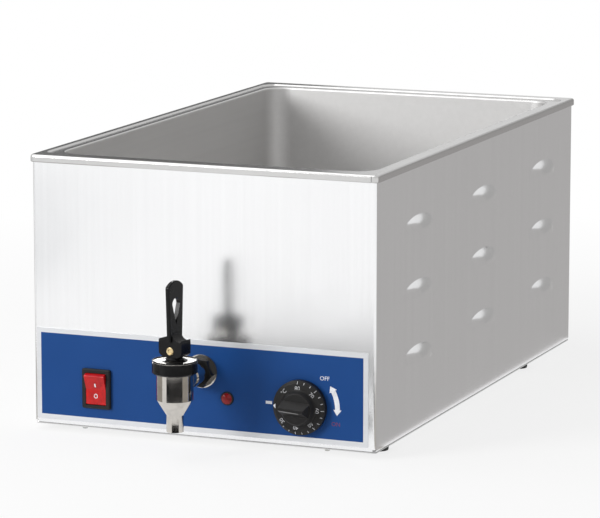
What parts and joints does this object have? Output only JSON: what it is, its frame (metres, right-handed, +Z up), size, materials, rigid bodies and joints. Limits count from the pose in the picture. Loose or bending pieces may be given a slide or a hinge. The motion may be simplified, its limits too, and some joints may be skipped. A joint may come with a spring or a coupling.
{
  "type": "countertop food warmer",
  "caption": "Countertop wet-well warmer for warm cheese sauce: louvred steel casing, pan well, drain to a front lever tap, rocker switch, pilot lamp and thermostat dial.",
  "frame": {"origin": "centre of the whole object's footprint, on the surface that its rubber feet stand on", "axes": "+Z up; -Y out of the front panel, towards the tap; +X to the right of a person who faces the front"},
  "size_m": [0.3558, 0.662, 0.259],
  "materials": {
    "brushed_sheet": "vertical brushed stainless sheet",
    "plain_sheet": "plain cold-rolled stainless sheet",
    "satin_sheet": "satin stainless, fine lengthwise brushing",
    "black_rubber": "moulded black rubber",
    "zinc_steel": "zinc-plated steel",
    "blue_label": "blue printed film with a silver border",
    "black_plastic": "moulded black plastic, slight sheen",
    "red_translucent": "translucent red, polished",
    "brass_parts": "plain brass",
    "dial_plastic": "black phenolic with white printed scale",
    "copper_tube": "drawn copper",
    "chrome_plate": "bright chrome plate",
    "gloss_black": "glossy black phenolic",
    "clear_silicone": "milky silicone",
    "element_sheath": "heat-darkened sheath",
    "glass_wool": "woven glass-fibre mat",
    "ceramic_white": "glazed ceramic"
  },
  "bodies": {
    "casing": {"casing_wrap": "brushed_sheet", "rear_panel": "brushed_sheet", "base_plate": "plain_sheet", "rim_frame": "satin_sheet", "well_tank": "satin_sheet", "rubber_feet": "black_rubber", "foot_screws": "zinc_steel", "foot_nuts": "zinc_steel", "base_screws": "zinc_steel", "rear_screws": "zinc_steel", "control_label": "blue_label", "rocker_housing": "black_plastic", "rocker_terminals": "brass_parts", "lamp_body": "black_plastic", "lamp_lens": "red_translucent", "lamp_nut": "black_plastic", "thermostat_body": "zinc_steel", "thermostat_screws": "zinc_steel", "capillary_tube": "copper_tube", "sensor_bulb": "copper_tube", "bulb_clips": "plain_sheet", "tap_body": "chrome_plate", "bonnet_ring": "gloss_black", "bonnet_cap": "chrome_plate", "bonnet_boss": "gloss_black", "tap_spring": "plain_sheet", "shank_washer": "chrome_plate", "shank_nut": "gloss_black", "shank_lock_nut": "chrome_plate", "drain_socket": "plain_sheet", "drain_elbow": "plain_sheet", "drain_hose": "clear_silicone", "hose_clips": "plain_sheet", "heater_element": "element_sheath", "clamp_plate": "plain_sheet", "clamp_studs": "plain_sheet", "clamp_nuts": "zinc_steel", "insulation_pad": "glass_wool", "gland_body": "black_plastic", "gland_seal": "black_rubber", "gland_dome_nut": "black_plastic", "gland_lock_nut": "black_plastic", "terminal_block": "ceramic_white", "earth_stud": "brass_parts", "earth_nuts": "brass_parts"},
    "seat": {"seat_cup": "clear_silicone"},
    "stem": {"tap_stem": "zinc_steel", "pivot_pin": "brass_parts"},
    "handle": {"tap_handle": "gloss_black"},
    "rocker": {"rocker_button": "red_translucent"},
    "dial": {"thermostat_knob": "dial_plastic", "thermostat_spindle": "zinc_steel"}
  },
  "joints": [
    {"name": "lift", "type": "slide", "parent": "casing", "child": "seat", "axis": [0, 0, 1], "range_m": [0, 0.00541], "stiffness_N_per_m": 800, "springref_m": -0.004, "deforming": ["tap_spring"]},
    {"name": "swivel", "type": "hinge", "parent": "seat", "child": "stem", "pos_m": [0, -0.3104, 0.0689], "axis": [0, 0, 1], "continuous": true},
    {"name": "handle_tilt", "type": "hinge", "parent": "stem", "child": "handle", "pos_m": [0, -0.3104, 0.0994], "axis": [0.2079, 0.9781, 0], "range_deg": [0, 50]},
    {"name": "rocker", "type": "hinge", "parent": "casing", "child": "rocker", "pos_m": [-0.1057, -0.2509, 0.0437], "axis": [-1, 0, 0], "range_deg": [0, 20]},
    {"name": "dial", "type": "hinge", "parent": "casing", "child": "dial", "pos_m": [0.098, -0.2504, 0.0437], "axis": [0, 1, 0], "range_deg": [0, 308]}
  ],
  "couplings": [
    {"joint": "handle_tilt", "follows": "lift", "rad_per_m": 161.29}
  ]
}
